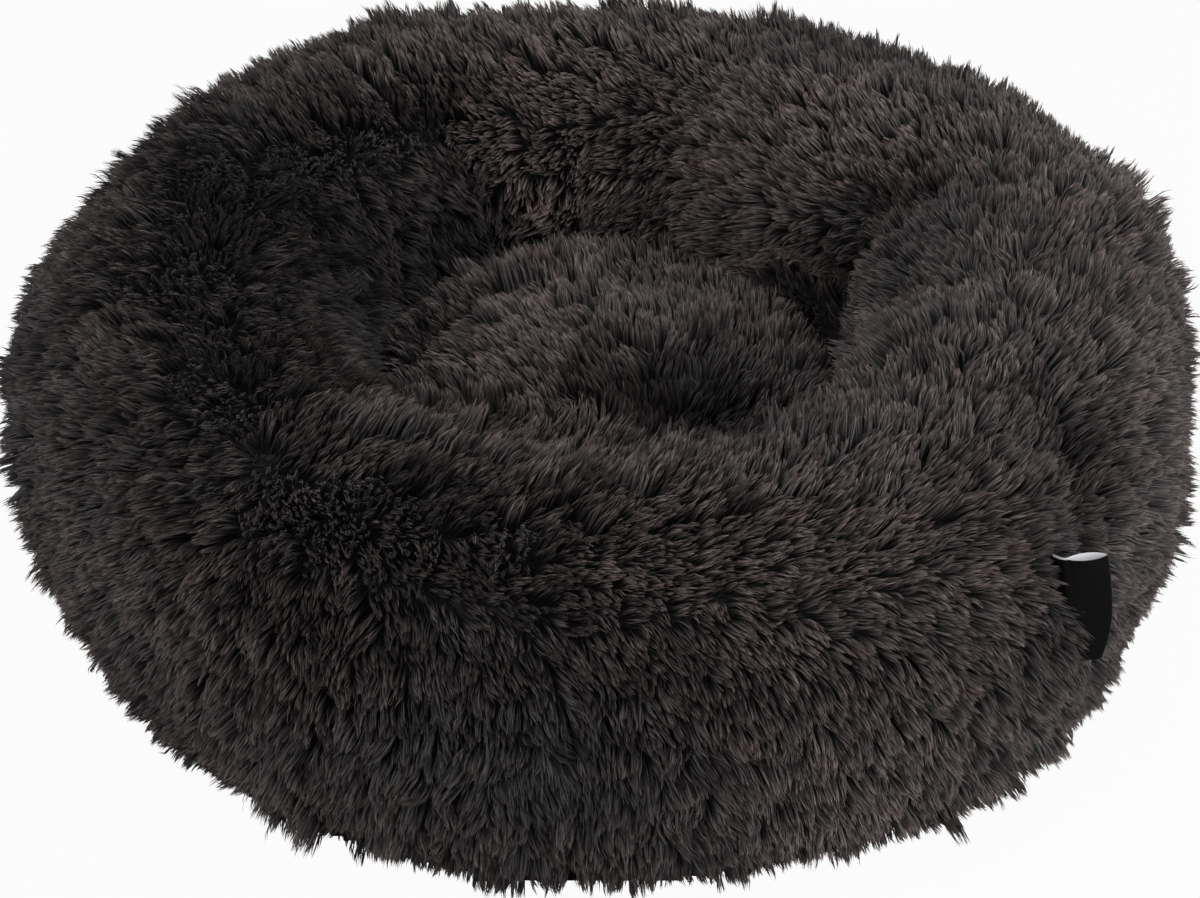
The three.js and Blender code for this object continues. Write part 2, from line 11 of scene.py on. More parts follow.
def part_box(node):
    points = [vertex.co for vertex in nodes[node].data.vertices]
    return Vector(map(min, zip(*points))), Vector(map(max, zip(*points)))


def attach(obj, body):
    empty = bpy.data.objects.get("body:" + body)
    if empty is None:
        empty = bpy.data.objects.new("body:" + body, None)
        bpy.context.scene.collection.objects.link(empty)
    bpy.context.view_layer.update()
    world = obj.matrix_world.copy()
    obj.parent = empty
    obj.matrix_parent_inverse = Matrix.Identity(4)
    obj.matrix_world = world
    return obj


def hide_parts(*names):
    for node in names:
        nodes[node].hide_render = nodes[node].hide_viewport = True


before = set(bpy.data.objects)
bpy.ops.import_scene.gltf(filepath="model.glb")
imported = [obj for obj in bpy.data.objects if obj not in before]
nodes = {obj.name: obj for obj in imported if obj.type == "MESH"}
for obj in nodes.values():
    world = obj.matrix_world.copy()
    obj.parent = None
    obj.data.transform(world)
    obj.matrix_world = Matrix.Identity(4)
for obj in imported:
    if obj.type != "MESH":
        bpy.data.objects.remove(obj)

bpy.ops.object.select_all(action="DESELECT")
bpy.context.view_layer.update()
MM = 0.001

# Camera. It stands in front of the bed and a good arm above it, with a long lens, and looks down into
# the nest. The photograph is 1200 by 898, and some pieces below are placed by where they show in it.
PHOTO_WIDTH, PHOTO_HEIGHT = 1200, 898
LENS, SENSOR = 116.34, 36.0
camera_data = bpy.data.cameras.new("camera")
camera_data.lens = LENS
camera_data.sensor_width = SENSOR
camera_data.clip_start = 0.05
camera_data.clip_end = 50
camera = bpy.data.objects.new("camera", camera_data)
bpy.context.scene.collection.objects.link(camera)
bpy.context.scene.camera = camera
camera.location = (0.0001, -1.6429, 1.2174)
camera_aim = Vector((-0.0015, -0.0065, 0.0673)) - camera.location
camera.rotation_mode = "QUATERNION"
camera.rotation_quaternion = camera_aim.to_track_quat("-Z", "Y")
eye = np.array(camera.location)
turn = np.array(camera.rotation_quaternion.to_matrix())
eye_right, eye_up, eye_forward = turn[:, 0], turn[:, 1], -turn[:, 2]
PIXELS = PHOTO_WIDTH * LENS / SENSOR


def sight(x, y):
    """The direction from the camera through a point of the photograph."""
    away = eye_right * (x - PHOTO_WIDTH / 2) / PIXELS + eye_up * (PHOTO_HEIGHT / 2 - y) / PIXELS + eye_forward
    return Vector(away / np.linalg.norm(away))


# Padded ring. In the real bed it is a plush tube stuffed with fibre and gathered round the nest, so it
# bulges and creases. Here the plush's knitted ground, which lies under the pile, is drawn on to the
# frame's ring from a torus, and its creases are pressed in where the photograph shows them.
RING_RADIUS, TUBE_RADIUS, TUBE_HEIGHT = 212 * MM, 112 * MM, 103 * MM
GROUND_DEPTH = 12 * MM
low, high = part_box("bolster_cover")
ring_centre = (low + high) / 2
bpy.ops.mesh.primitive_torus_add(
    major_segments=260, minor_segments=104, major_radius=RING_RADIUS, minor_radius=TUBE_RADIUS,
    location=(ring_centre.x, ring_centre.y, TUBE_HEIGHT),
)
ring = bpy.context.object
ring.name = "ring_ground"
bpy.ops.object.transform_apply(location=True, rotation=True, scale=True)


def modify(piece, kind, **settings):
    """Adds a modifier and applies it."""
    made = piece.modifiers.new(kind, kind)
    for name, value in settings.items():
        setattr(made, name, value)
    bpy.context.view_layer.objects.active = piece
    bpy.ops.object.modifier_apply(modifier=made.name)


def points_of(piece):
    """A mesh's points and their normals as arrays."""
    count = len(piece.data.vertices)
    points, normals = np.zeros(count * 3), np.zeros(count * 3)
    piece.data.vertices.foreach_get("co", points)
    piece.data.vertices.foreach_get("normal", normals)
    return points.reshape(-1, 3), normals.reshape(-1, 3)


def draw_on(piece, node, depth):
    """Draws a primitive on to a CAD node, smooths it and sinks it to a depth under the node."""
    modify(piece, "SHRINKWRAP", target=nodes[node], wrap_method="NEAREST_SURFACEPOINT")
    modify(piece, "SMOOTH", factor=0.5, iterations=8)
    modify(piece, "DISPLACE", strength=-depth, mid_level=0.0)
    bpy.ops.object.shade_smooth()


draw_on(ring, "bolster_cover", GROUND_DEPTH)


def on_surface(pieces, x, y):
    """Where the line of sight through a point of the photograph first meets one of the pieces."""
    best = None
    for number, tree in enumerate(pieces):
        place, normal, _, distance = tree.ray_cast(Vector(eye), sight(x, y))
        if place is not None and (best is None or distance < best[3]):
            best = (place, normal, number, distance)
    return best


def tree_of(piece):
    return BVHTree.FromObject(piece, bpy.context.evaluated_depsgraph_get())


# Each fold: half width and depth in millimetres, then the points of the photograph that it runs through.
# A depth below 0 is a swell.
FOLDS = (
    (24, -7, ((740, 232), (790, 258), (825, 290))),
    (20, -5, ((920, 340), (945, 380))),
    (9, 9, ((893, 224), (874, 262), (860, 310), (850, 350), (845, 392))),
    (10, 5, ((893, 224), (940, 212), (1010, 200), (1085, 196))),
    (8, 8, ((694, 132), (686, 165), (686, 205), (690, 240))),
    (9, 4, ((694, 132), (722, 95), (770, 50))),
    (9, 6, ((462, 150), (478, 190), (486, 232))),
    (8, 4, ((598, 120), (592, 170), (600, 215))),
    (10, 7, ((352, 285), (374, 325), (392, 372))),
    (8, 5, ((1018, 412), (1034, 450), (1048, 500), (1060, 548))),
    (9, 4, ((900, 312), (960, 305), (1050, 290), (1130, 270))),
    (6, 5, ((455, 640), (457, 700), (456, 790))),
    (6, 5, ((576, 690), (573, 760), (571, 850))),
    (6, 4, ((606, 700), (604, 780))),
    (6, 4, ((760, 720), (757, 800))),
    (9, 4, ((250, 225), (300, 240), (350, 232))),
    (10, 3, ((140, 330), (210, 350), (280, 345))),
)


def fold_lines(piece, folds):
    """The folds as half widths, depths and lines on a piece."""
    tree = tree_of(piece)
    found = []
    for width, depth, run in folds:
        met = [on_surface([tree], x, y) for x, y in run]
        found.append((width * MM, depth * MM, np.array([m[0] for m in met if m is not None])))
    return found


def press_folds(piece, lines):
    """Presses folds into a piece."""
    points, normals = points_of(piece)
    for width, depth, line in lines:
        nearest = np.full(len(points), 1.0)
        for a, b in zip(line[:-1], line[1:]):
            share = np.clip((points - a) @ (b - a) / ((b - a) @ (b - a)), 0, 1)
            nearest = np.minimum(nearest, np.linalg.norm(points - a - share[:, None] * (b - a), axis=1))
        points -= normals * (depth * np.exp(-((nearest / width) ** 2)))[:, None]
    piece.data.vertices.foreach_set("co", points.ravel())
    piece.data.update()


SWELL_EDGE, SWELL_FADE, SWELL_FOOT = 8 * MM, 14 * MM, 20 * MM


def swell_where(piece, amount, low_radius, high_radius, top):
    """Swells the part of a piece that lies low in the nest, where ring and cushion press on each other."""
    points, normals = points_of(piece)
    away = np.linalg.norm(points[:, :2] - np.array(ring_centre)[:2], axis=1)
    near = np.clip((away - low_radius) / SWELL_EDGE, 0, 1) * np.clip((high_radius - away) / SWELL_EDGE, 0, 1)
    below = np.clip((top - points[:, 2]) / SWELL_FADE, 0, 1)
    below *= np.clip((points[:, 2] - SWELL_FOOT) / SWELL_FOOT, 0, 1)
    points += normals * (amount * near * below)[:, None]
    piece.data.vertices.foreach_set("co", points.ravel())
    piece.data.update()


ring_folds = fold_lines(ring, FOLDS)
press_folds(ring, ring_folds)
swell_where(ring, 8 * MM, 110 * MM, 156 * MM, 128 * MM)


def linear(colour):
    """An sRGB hex colour as the linear values that a node takes."""
    shares = [int(colour[place:place + 2], 16) / 255 for place in (0, 2, 4)]
    return [s / 12.92 if s <= 0.04045 else ((s + 0.055) / 1.055) ** 2.4 for s in shares] + [1.0]


def node(tree, kind, settings=None, **links):
    """Adds a node, with its settings, its values by socket name and its links from other nodes' sockets."""
    made = tree.nodes.new(kind)
    for name, value in (settings or {}).items():
        setattr(made, name, value)
    for name, value in links.items():
        socket = made.inputs[int(name[1:])] if name[1:].isdigit() else made.inputs[name.replace("_", " ")]
        if isinstance(value, bpy.types.NodeSocket):
            tree.links.new(value, socket)
        else:
            socket.default_value = value
    return made


def new_material(name, surface):
    """An empty material whose surface is what the function surface builds in its tree."""
    made = bpy.data.materials.new(name)
    made.use_nodes = True
    tree = made.node_tree
    tree.nodes.clear()
    shader = surface(tree)
    node(tree, "ShaderNodeOutputMaterial", Surface=shader.outputs[0])
    return made


def set_ramp(ramp, stops, interpolation="LINEAR"):
    """Gives a colour ramp its stops, each a place and a hex colour."""
    ramp.color_ramp.interpolation = interpolation
    elements = ramp.color_ramp.elements
    while len(elements) > len(stops):
        elements.remove(elements[-1])
    while len(elements) < len(stops):
        elements.new(1.0)
    for element, (place, colour) in zip(elements, stops):
        element.position = place
        element.color = linear(colour)


def knitted_ground(tree):
    cells = node(tree, "ShaderNodeTexVoronoi", Scale=600.0)
    place = node(tree, "ShaderNodeTexCoord")
    tree.links.new(place.outputs["Object"], cells.inputs["Vector"])
    ramp = node(tree, "ShaderNodeValToRGB", Fac=cells.outputs["Distance"])
    set_ramp(ramp, ((0.0, "1c1918"), (1.0, "0f0d0d")))
    return node(tree, "ShaderNodeBsdfPrincipled", Base_Color=ramp.outputs["Color"], Roughness=0.9)


# Warp-knitted polyester ground of the plush, dyed with the pile: dark loops that show only deep down
ground_cloth = new_material("warp_knitted_polyester_ground", knitted_ground)
ring.data.materials.append(ground_cloth)
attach(ring, "bed")
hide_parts("bolster_cover")

# Centre cushion. It is a round plush pad stuffed with fibre that fills the nest, crowned, and drawn in
# at one place where its pile parts into a whorl.
low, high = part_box("cushion_cover")
cushion_centre = (low + high) / 2
cushion_size = high - low
bpy.ops.mesh.primitive_uv_sphere_add(segments=96, ring_count=64, radius=0.5)
cushion = bpy.context.object
cushion.name = "cushion_ground"
cushion.scale = (cushion_size.x * 1.04, cushion_size.y * 1.04, cushion_size.z * 1.1)
cushion.location = cushion_centre
bpy.ops.object.transform_apply(location=True, rotation=True, scale=True)
draw_on(cushion, "cushion_cover", GROUND_DEPTH)
cushion_folds = fold_lines(cushion, (
    (16, 9, ((655, 445), (700, 440), (740, 428))),
    (12, 7, ((455, 330), (440, 350))),
))
press_folds(cushion, cushion_folds)
swell_where(cushion, 5 * MM, 84 * MM, 150 * MM, 118 * MM)
cushion.data.materials.append(ground_cloth)
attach(cushion, "bed")
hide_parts("cushion_cover")

# Pile. It is long crimped polyester, about 25 mm, that stands in fine pointed tufts and lies the way it
# was last stroked. Each stroke below is where a tuft shows in the photograph and which way it points
# there, in degrees: 0 to the right, 90 up. Between strokes the pile turns smoothly.
STROKES = (
    (47, ((330, 150), (365, 150), (430, 150), (480, 142), (545, 142), (610, 142), (680, 142), (750, 142),
          (820, 142), (855, 128), (890, 128))),
    (97, ((250, 145), (290, 145), (330, 165), (400, 145), (480, 140), (520, 158), (570, 160), (620, 160),
          (670, 158), (710, 132), (780, 130), (820, 115), (860, 120), (890, 122), (930, 135), (970, 140))),
    (133, ((170, 205), (210, 195), (250, 160), (290, 150), (360, 178), (440, 160), (500, 160), (550, 165),
           (590, 205), (625, 212), (665, 225), (705, 170), (740, 130), (780, 125), (820, 115), (857, 105),
           (893, 115), (930, 130), (970, 138), (1010, 138), (1047, 138))),
    (172, ((133, 215), (172, 205), (210, 215), (260, 235), (320, 270), (400, 305), (437, 318), (475, 312),
           (513, 210), (552, 215), (590, 220), (628, 226), (665, 232), (703, 175), (741, 147), (780, 137),
           (820, 130), (857, 122), (893, 120), (933, 118), (970, 112), (1007, 112), (1047, 120), (1085, 90))),
    (210, ((97, 198), (133, 198), (172, 215), (220, 250), (280, 285), (340, 300), (400, 312), (437, 305),
           (477, 290), (513, 225), (552, 230), (590, 228), (628, 245), (667, 255), (703, 180), (741, 172),
           (780, 325), (820, 322), (857, 318), (893, 315), (931, 120), (970, 92), (1008, 90), (1047, 85),
           (1085, 70), (1122, 60))),
    (246, ((59, 180), (97, 210), (133, 182), (190, 255), (248, 315), (287, 312), (325, 312), (362, 312), (400, 285),
           (438, 270), (475, 260), (741, 180), (780, 180), (820, 182), (857, 182), (931, 120), (970, 110),
           (1008, 95), (1047, 90), (1085, 65), (1122, 50), (1160, 40))),
    (236, ((513, 240), (552, 222), (590, 218), (628, 215))),
    (304, ((20, 240), (59, 200), (97, 208), (133, 215), (190, 258), (248, 310), (300, 313), (350, 306), (400, 300),
           (440, 162), (480, 160), (540, 158), (590, 145), (647, 130), (703, 115), (741, 100), (780, 75),
           (819, 45), (893, 150), (931, 140), (970, 128), (1008, 100), (1047, 90), (1085, 70), (1122, 52),
           (1160, 35))),
    (340, ((440, 168), (513, 162), (590, 150), (647, 135), (703, 112), (741, 85), (780, 62), (819, 40))),
    (362, ((20, 215), (59, 200), (96, 195), (133, 190), (165, 185), (190, 250), (215, 300), (250, 325), (287, 322),
           (325, 315), (362, 315), (440, 180), (513, 178), (590, 165), (650, 125), (703, 100), (741, 60),
           (780, 50), (819, 40), (893, 140), (931, 112), (970, 95), (1008, 90), (1047, 60), (1085, 45),
           (1122, 38), (1160, 18))),
    (400, ((20, 215), (59, 200), (96, 195), (133, 190), (165, 185), (190, 250), (215, 300), (250, 325), (287, 322),
           (325, 315), (362, 315), (475, 180), (513, 180), (552, 160), (590, 150), (628, 140), (667, 95),
           (703, 40), (741, 35), (780, 30), (819, 25), (893, 90), (931, 100), (970, 90), (1008, 90),
           (1047, 45), (1085, 45), (1122, 35), (1160, 12))),
    (440, ((97, 180), (172, 180), (248, 180), (287, 30), (325, 30), (362, 32), (400, 48), (438, 48),
           (475, 25), (513, 5), (741, 20), (780, 45), (819, 60), (857, 65), (893, 68), (931, 72), (970, 75),
           (1008, 95), (1085, 2), (1122, 0), (1160, 0))),
    (475, ((20, 270), (59, 220), (97, 195), (133, 195), (172, 195), (210, 230), (325, 35), (362, 5),
           (400, 2), (438, 5), (475, 10), (513, 30), (552, 32), (590, 30), (628, 28), (667, 15), (703, 30),
           (741, 40), (780, 45), (819, 50), (857, 55), (893, 60), (931, 62), (970, 64), (1008, 65),
           (1047, 90), (1085, 30), (1122, 340), (1160, 355))),
    (513, ((59, 222), (97, 222), (133, 222), (172, 222), (210, 235), (248, 235), (287, 285), (325, 310),
           (362, 340), (400, 350), (438, 352), (475, 355), (513, 358), (552, 2), (590, 4), (628, 5),
           (667, 5), (703, 12), (741, 16), (780, 20), (893, 42), (931, 42), (970, 42), (1008, 42),
           (1122, 330), (1160, 330))),
    (552, ((59, 255), (97, 235), (133, 235), (172, 235), (210, 236), (248, 250), (287, 275), (325, 295),
           (362, 302), (400, 312), (438, 320), (667, 342), (703, 342), (741, 10), (780, 30), (819, 30),
           (857, 30), (893, 15), (931, 15), (970, 15), (1008, 15), (1047, 15), (1122, 310))),
    (590, ((59, 270), (97, 240), (133, 240), (172, 240), (210, 242), (248, 260), (287, 275), (325, 290),
           (362, 300), (400, 302), (438, 305), (500, 312), (560, 316), (628, 320), (667, 340), (703, 340),
           (741, 340), (780, 345), (819, 0), (857, 0), (893, 320), (931, 320), (970, 320), (1008, 320),
           (1047, 285), (1122, 300))),
    (628, ((97, 255), (133, 255), (172, 270), (210, 270), (248, 270), (287, 275), (325, 278), (362, 282),
           (400, 286), (438, 290), (475, 312), (530, 312), (590, 312), (650, 312), (703, 312), (741, 300),
           (800, 300), (857, 300), (893, 310), (931, 310), (970, 310), (1008, 270), (1047, 275))),
    (685, ((97, 268), (150, 270), (210, 270), (270, 270), (330, 270), (400, 270), (438, 280), (475, 305),
           (540, 305), (600, 305), (667, 303), (703, 295), (741, 275), (800, 275), (857, 277), (893, 295),
           (950, 295), (1008, 295))),
    (760, ((172, 268), (230, 270), (290, 270), (350, 268), (400, 255), (438, 250), (475, 275), (530, 280),
           (590, 290), (628, 295), (667, 303), (703, 305), (741, 285), (800, 285), (857, 286), (893, 298),
           (931, 298), (970, 315), (1008, 315))),
    (838, ((287, 315), (325, 300), (362, 275), (430, 275), (500, 275), (570, 278), (640, 280), (700, 284),
           (741, 284), (780, 258), (819, 310), (857, 318), (893, 325), (931, 330))),
)
STROKE_REACH = 20 * MM

# Where the pile is rumpled and its tufts point about: a point of the photograph, a reach and a share
RUMPLED = (
    (250, 210, 60, 0.5), (330, 290, 45, 0.5), (200, 330, 60, 0.45), (300, 370, 45, 0.5), (190, 450, 50, 0.35),
    (300, 540, 50, 0.35), (420, 600, 50, 0.35), (520, 540, 40, 0.3), (1000, 250, 60, 0.25), (700, 430, 25, 0.6),
    (420, 210, 40, 0.45), (880, 260, 25, 0.6), (1090, 480, 40, 0.3),
)

# Painted shade and painted light on the pile: zones whose strands take darker shades where its dark depth shows,
# or paler ones where its side catches the light: a point of the photograph, a reach and how many shades darker,
# below 0 for paler
PAINTED_SHADE_ZONES = (
    (270, 185, 50, 7), (340, 270, 50, 10), (440, 250, 45, 13), (240, 300, 45, 4), (190, 250, 35, 2.5),
    (345, 345, 60, 13), (385, 385, 40, 12), (400, 300, 30, 11), (430, 190, 35, 5), (200, 400, 45, 2.5),
    (345, 390, 22, 7), (420, 345, 18, 5), (255, 450, 40, 3), (150, 450, 50, 3.5), (55, 260, 45, 7.5),
    (45, 360, 50, 6), (55, 450, 45, 5), (150, 650, 45, 2.5), (300, 520, 40, 1), (350, 620, 40, 4),
    (440, 640, 45, 6), (345, 735, 45, 4.5), (450, 730, 50, 8.5), (555, 745, 50, 11), (650, 760, 45, 5),
    (545, 835, 40, 5), (670, 825, 45, 4), (640, 650, 40, 1.5), (700, 425, 36, 9), (645, 450, 16, 6),
    (865, 245, 30, 5), (850, 350, 30, 5), (770, 455, 32, 4), (950, 255, 40, 4.5), (960, 345, 35, 2),
    (545, 250, 35, 2.5), (640, 250, 35, 1.5), (1060, 150, 40, 3.5), (1150, 250, 40, 3), (1150, 350, 40, 2),
    (930, 95, 40, 2.5), (840, 65, 40, 3.5), (750, 40, 35, 4.5), (1040, 450, 40, 4.5), (1045, 545, 40, 4.5),
    (1040, 640, 40, 3.5), (650, 210, 22, 3), (850, 650, 40, 1),
    (550, 60, 50, -4.5), (650, 65, 40, -2.5), (550, 130, 45, -5), (750, 145, 45, -2.5), (850, 150, 40, -4),
    (550, 340, 45, -4), (640, 350, 35, -2.5), (540, 440, 35, -2.5), (650, 535, 40, -3.5), (750, 540, 45, -2.5),
    (840, 810, 35, -2.5),
)
trees = [tree_of(ring), tree_of(cushion)]
# Zones of painted shade and painted light, sorted by the piece that each falls on
painted_shade_sets = [[], []]
for x, y, reach, darker in PAINTED_SHADE_ZONES:
    met = on_surface(trees, x, y)
    if met is not None:
        painted_shade_sets[met[2]].append((np.array(met[0]), reach * MM, darker))
rumples = []
for x, y, reach, share in RUMPLED:
    met = on_surface(trees, x, y)
    rumples.append((np.array(met[0]), reach * MM, share))
stroke_sets = [[], []]
for y, row in STROKES:
    for x, degrees in row:
        met = on_surface(trees, x, y)
        if met is not None:
            stroke_sets[met[2]].append((np.array(met[0]), np.array(met[1]), math.radians(degrees)))


def comb(points, normals, strokes, hang):
    """The way the pile lies at each point, from the strokes near it, or the way it hangs where there are none."""
    places = np.array([s[0] for s in strokes])
    lay = []
    for place, normal, angle in strokes:
        look = place - eye
        look /= np.linalg.norm(look)
        seen = eye_right * math.cos(angle) + eye_up * math.sin(angle)
        facing = min(look @ normal, -0.3)
        run = seen - look * (seen @ normal) / facing
        run -= normal * (run @ normal)
        lay.append(run / np.linalg.norm(run))
    lay = np.array(lay)
    found = np.zeros_like(points)
    for start in range(0, len(points), 4000):
        part = slice(start, start + 4000)
        away = np.linalg.norm(points[part, None, :] - places[None, :, :], axis=2)
        found[part] = np.exp(-((away / STROKE_REACH) ** 2) / 2) @ lay
    found += 0.04 * hang
    found -= normals * np.sum(found * normals, axis=1)[:, None]
    return found / np.maximum(np.linalg.norm(found, axis=1), 1e-9)[:, None]


# One strand: a narrow strip in two lengths, modelled once, flat in X and Y, that tapers to a point
bpy.ops.mesh.primitive_grid_add(x_subdivisions=1, y_subdivisions=2, size=1, location=(0, 0.5, 0))
strand = bpy.context.object
bpy.ops.object.transform_apply(location=True, rotation=True, scale=True)
bpy.ops.object.mode_set(mode="EDIT")
bpy.ops.mesh.select_all(action="DESELECT")
shape = bmesh.from_edit_mesh(strand.data)
for corner in shape.verts:
    corner.select = corner.co.y > 0.99
shape.select_flush_mode()
bmesh.update_edit_mesh(strand.data)
bpy.ops.mesh.merge(type="CENTER")
bpy.ops.object.mode_set(mode="OBJECT")
strand_points = np.array([v.co for v in strand.data.vertices])
strand_faces = [list(p.vertices) for p in strand.data.polygons]
bpy.data.objects.remove(strand)
strand_levels = np.array([0.0, 0.7, 1.0])
strand_widths = np.array([0.8, 1.0, 0.0])

# The strands' shades run from pale to dark by equal steps, and most lie near the usual one. Fine tufts lean
# together in wide ones, and a patch of wide ones is longer or shorter than the next.
SHADES, USUAL_SHADE, SHADE_STEP = 20, 5, 0.93
TINT = (1.0, 0.945, 0.94)
PATCH_SPACING, WIDE_SPACING, FINE_SPACING = 42 * MM, 13 * MM, 2.3 * MM


def nearest_of(places, points):
    """The number of the place nearest to each point."""
    tree = KDTree(len(places))
    for number, place in enumerate(places):
        tree.insert(place, number)
    tree.balance()
    return np.array([tree.find(point)[1] for point in points])


def scattered(points, spacing, rng):
    """Numbers of points about a spacing apart, picked from all of them."""
    order = rng.permutation(len(points))
    cells = np.floor((points[order] + 1) / spacing).astype(np.int64)
    keys = (cells[:, 0] * 4096 + cells[:, 1]) * 4096 + cells[:, 2]
    _, first = np.unique(keys, return_index=True)
    return order[first]


def curve_points(place, normal, lay, rise, run):
    """Points along each strand: it stands up out of the ground and then bends over along its lay."""
    levels = strand_levels[None, :, None]
    up = rise[:, None, None] * (1 - (1 - levels) ** 1.35)
    along = run[:, None, None] * levels ** 1.15
    return place[:, None, :] + normal[:, None, :] * up + lay[:, None, :] * along


def turned(lay, normals, angles):
    """The lay, turned about the normals."""
    return lay * np.cos(angles)[:, None] + np.cross(normals, lay) * np.sin(angles)[:, None]


def grow_pile(name, ground, strokes, painted_shade, hang_of, keep, count, parts, seed):
    """Grows strands on a ground cloth where keep says, as one piece for each sector of the bed."""
    rng = np.random.default_rng(seed)
    mesh = ground.data
    mesh.calc_loop_triangles()
    corners = np.zeros(len(mesh.loop_triangles) * 3, np.int32)
    mesh.loop_triangles.foreach_get("vertices", corners)
    corners = corners.reshape(-1, 3)
    points, normals = points_of(ground)
    lay = comb(points, normals, strokes, hang_of(points, normals))
    a, b, c = points[corners[:, 0]], points[corners[:, 1]], points[corners[:, 2]]
    area = np.linalg.norm(np.cross(b - a, c - a), axis=1) / 2 * keep((a + b + c) / 3, normals[corners[:, 0]])
    face = rng.choice(len(corners), size=count, p=area / area.sum())
    u, v = rng.random(count), rng.random(count)
    over = u + v > 1
    u[over], v[over] = 1 - u[over], 1 - v[over]
    shares = np.stack([1 - u - v, u, v], axis=1)[:, :, None]

    def spread(values):
        return np.sum(values[corners[face]] * shares, axis=1)

    place, normal, way = spread(points), spread(normals), spread(lay)
    normal /= np.linalg.norm(normal, axis=1)[:, None]
    way -= normal * np.sum(way * normal, axis=1)[:, None]
    way /= np.maximum(np.linalg.norm(way, axis=1), 1e-9)[:, None]

    patch = scattered(place, PATCH_SPACING, rng)
    wide = scattered(place, WIDE_SPACING, rng)
    fine = scattered(place, FINE_SPACING, rng)
    wide_of = nearest_of(place[wide], place[fine])
    fine_of = nearest_of(place[fine], place)
    rumple = np.full(len(wide), 0.16)
    for middle, reach, share in rumples:
        away = np.linalg.norm(place[wide] - middle, axis=1)
        rumple = np.maximum(rumple, share * np.exp(-((away / reach) ** 2)))
    patch_of = nearest_of(place[patch], place[wide])
    patch_rise = rng.normal(1, 0.12, len(patch))
    wide_turn = rng.normal(0, 0.2, len(wide)) + rng.normal(0, 1, len(wide)) * rumple
    wide_rise = rng.normal(1, 0.17, len(wide)) * patch_rise[patch_of]
    fine_turn = rng.normal(0, 0.16, len(fine)) + wide_turn[wide_of]
    fine_rise = rng.normal(1, 0.15, len(fine)) * wide_rise[wide_of]
    fine_run = rng.normal(1, 0.16, len(fine))

    def curves(chosen, turn, rise, run):
        return curve_points(
            place[chosen], normal[chosen], turned(way[chosen], normal[chosen], turn),
            RISE * rise, RUN * run,
        )

    wide_curves = curves(wide, wide_turn, wide_rise, np.ones(len(wide)))
    fine_curves = curves(fine, fine_turn, fine_rise, fine_run)
    pull = (0.3 * strand_levels ** 1.5)[None, :, None]
    fine_curves += pull * (wide_curves[wide_of] - fine_curves)
    length = rng.normal(1, 0.1, count)
    own = curves(
        np.arange(count), fine_turn[fine_of] + rng.normal(0, 0.12, count),
        fine_rise[fine_of] * rng.normal(1, 0.08, count), fine_run[fine_of] * length,
    )
    grip = rng.normal(0.76, 0.12, count)[:, None, None] * (strand_levels ** 1.1)[None, :, None]
    target = fine_curves[fine_of]
    lines = own + grip * (target - own)
    lines += rng.normal(0, 0.25 * MM, lines.shape) * strand_levels[None, :, None]
    lines[:, :, 2] = np.maximum(lines[:, :, 2], 0.8 * MM)

    run = lines[:, -1] - lines[:, 0]
    run /= np.linalg.norm(run, axis=1)[:, None]
    side = np.cross(run, normal)
    side /= np.maximum(np.linalg.norm(side, axis=1), 1e-9)[:, None]
    lift = np.cross(side, run)
    twist = rng.normal(0, 0.55, count)
    side = side * np.cos(twist)[:, None] + lift * np.sin(twist)[:, None]
    width = rng.normal(STRAND_WIDTH, 0.2 * STRAND_WIDTH, count)
    # Painted shade and painted light from the zones, then tone that differs at random by wide tuft, fine tuft and
    # strand
    darker = np.zeros(len(fine))
    for middle, reach, shades in painted_shade:
        away = np.linalg.norm(place[fine] - middle, axis=1)
        here = shades * np.exp(-((away / reach) ** 2))
        darker = np.where(np.abs(here) > np.abs(darker), here, darker)
    darker += rng.normal(0, 1.4, len(wide))[wide_of] + rng.normal(0, 1.6, len(fine))
    shade = np.rint(USUAL_SHADE + darker[fine_of] + rng.normal(0, 2.1, count))
    shade = np.clip(shade, 0, SHADES - 1).astype(int)

    level = np.rint(strand_points[:, 1] * 2).astype(int)
    across = strand_points[:, 0]
    sector = ((np.arctan2(place[:, 1], place[:, 0]) / (2 * math.pi) + 1) * parts).astype(int) % parts
    for part in range(parts):
        mine = np.flatnonzero(sector == part)
        half = (width[mine, None] * strand_widths[level][None, :] * across[None, :])[:, :, None]
        made = lines[mine][:, level] + side[mine][:, None, :] * half
        total, each = len(mine), len(strand_points)
        loops = np.concatenate([np.array(f) for f in strand_faces])
        sizes = np.array([len(f) for f in strand_faces])
        all_loops = (np.arange(total)[:, None] * each + loops[None, :]).ravel()
        all_sizes = np.tile(sizes, total)
        piece_mesh = bpy.data.meshes.new(f"{name}_{part + 1:02d}")
        piece_mesh.vertices.add(total * each)
        piece_mesh.vertices.foreach_set("co", made.astype(np.float32).ravel())
        piece_mesh.loops.add(len(all_loops))
        piece_mesh.loops.foreach_set("vertex_index", all_loops.astype(np.int32))
        piece_mesh.polygons.add(len(all_sizes))
        starts = np.concatenate([[0], np.cumsum(all_sizes)[:-1]])
        piece_mesh.polygons.foreach_set("loop_start", starts.astype(np.int32))
        piece_mesh.polygons.foreach_set("use_smooth", np.ones(len(all_sizes), bool))
        layer = piece_mesh.uv_layers.new(name="OFBake")
        strip = (shade[mine][:, None] + 0.5 + across[loops][None, :] * 0.84) / SHADES
        height = np.broadcast_to(strand_levels[level][loops][None, :] * 0.96 + 0.02, strip.shape)
        layer.data.foreach_set("uv", np.stack([strip, height], axis=2).astype(np.float32).ravel())
        piece_mesh.update(calc_edges=True)
        piece_mesh.validate()
        piece_mesh.materials.append(plush_pile)
        piece = bpy.data.objects.new(piece_mesh.name, piece_mesh)
        bpy.context.scene.collection.objects.link(piece)
        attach(piece, "bed")


